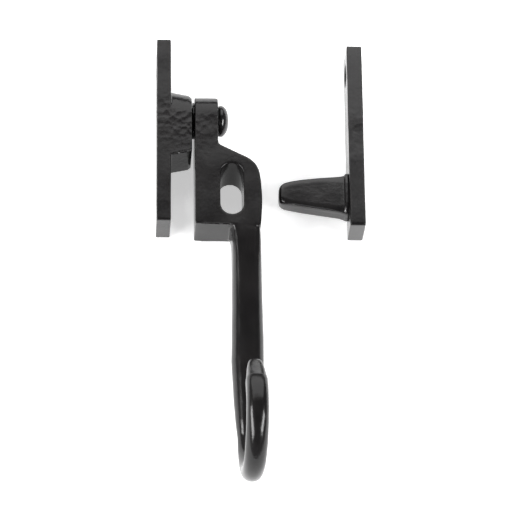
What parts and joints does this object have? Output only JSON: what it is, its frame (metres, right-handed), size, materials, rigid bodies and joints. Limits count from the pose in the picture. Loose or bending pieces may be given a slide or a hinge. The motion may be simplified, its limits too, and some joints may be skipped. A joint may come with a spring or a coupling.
{
  "type": "casement window fastener",
  "caption": "Black casement fastener with a riveted, cranked handle ending in a curled crook, a slotted night-vent nose, and a separate hook keep.",
  "frame": {"origin": "centre of the backplate's back face, where it lies on the window sash", "axes": "+X straight out of the sash, along the handle's pivot; +Y up the plate, towards its pivot end; +Z to the side the crook curls to, which is up when the set lies on its side on a bench"},
  "size_m": [0.073, 0.1674, 0.0451],
  "materials": {
    "backplate": "gloss black powder coat over forged steel",
    "rivet": "gloss black powder coat over steel",
    "washer": "blackened spring steel",
    "handle": "gloss black powder coat over forged steel",
    "keep": "gloss black powder coat over forged steel",
    "hook": "gloss black powder coat over forged steel"
  },
  "bodies": {
    "backplate": {"backplate": "backplate", "pivot_rivet": "rivet", "spring_washer": "washer"},
    "handle": {"handle": "handle"},
    "keep": {"keep_plate": "keep", "keep_hook": "hook"}
  },
  "joints": [
    {"name": "handle_pivot", "type": "hinge", "parent": "backplate", "child": "handle", "pos_m": [0.0175, 0.0068, 0], "axis": [-1, 0, 0], "range_deg": [0, 150]},
    {"name": "keep_placement", "type": "slide", "parent": "backplate", "child": "keep", "axis": [1, 0, 0], "range_m": [0, 0.05]}
  ]
}
